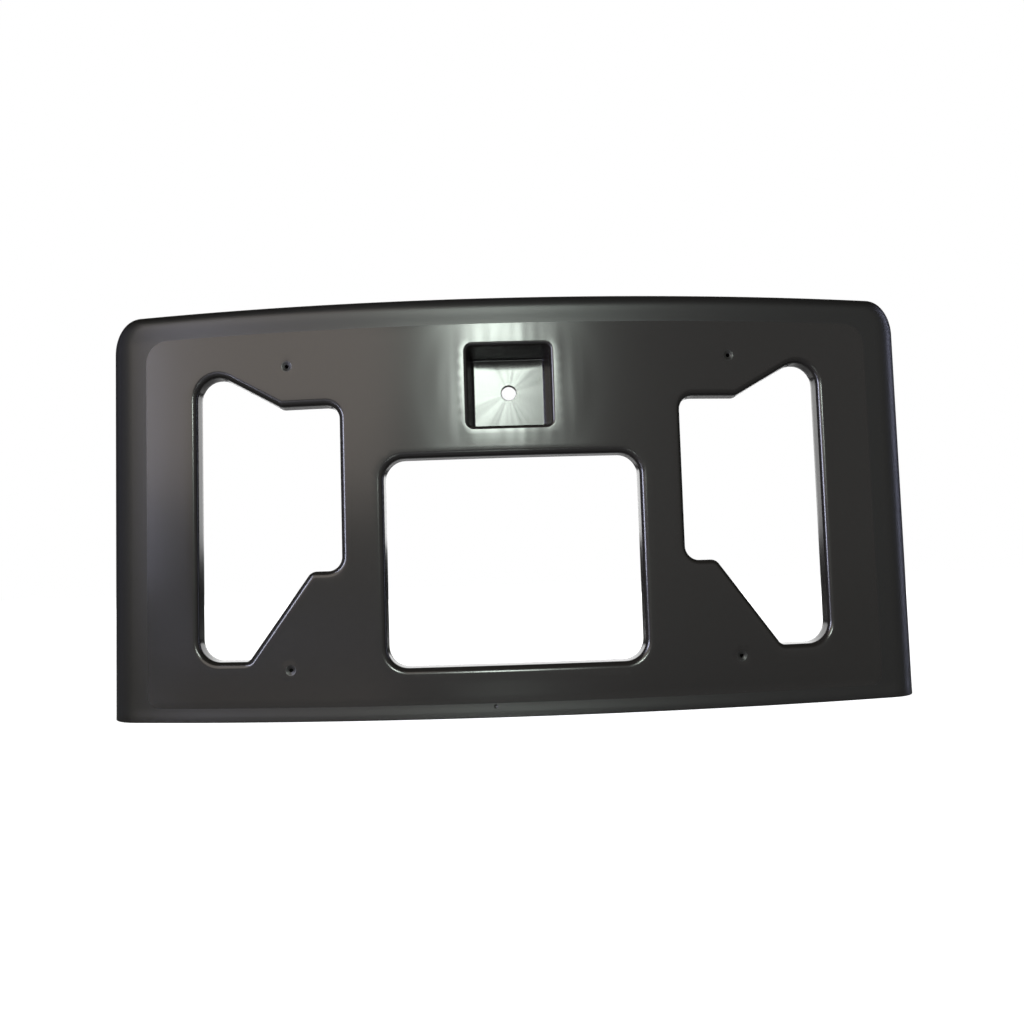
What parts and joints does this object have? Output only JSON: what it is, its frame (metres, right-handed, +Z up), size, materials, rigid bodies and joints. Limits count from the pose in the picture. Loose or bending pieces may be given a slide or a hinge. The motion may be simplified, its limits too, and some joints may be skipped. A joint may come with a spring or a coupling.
{
  "type": "number plate holder",
  "caption": "Bowed one-piece plastic holder that screws to a car's front bumper and carries the number plate, with a rolled rim, open windows and a screw pocket.",
  "frame": {"origin": "middle of the bounding box at the level of the bottom edge", "axes": "+X to the right of someone who faces the plate's side, +Y from the plate towards the bumper, +Z up"},
  "size_m": [0.333, 0.0406, 0.166],
  "materials": {
    "moulded_plastic": "glossy field with a fine-grained matt border"
  },
  "bodies": {
    "root": {"plate_holder": "moulded_plastic"}
  },
  "joints": []
}
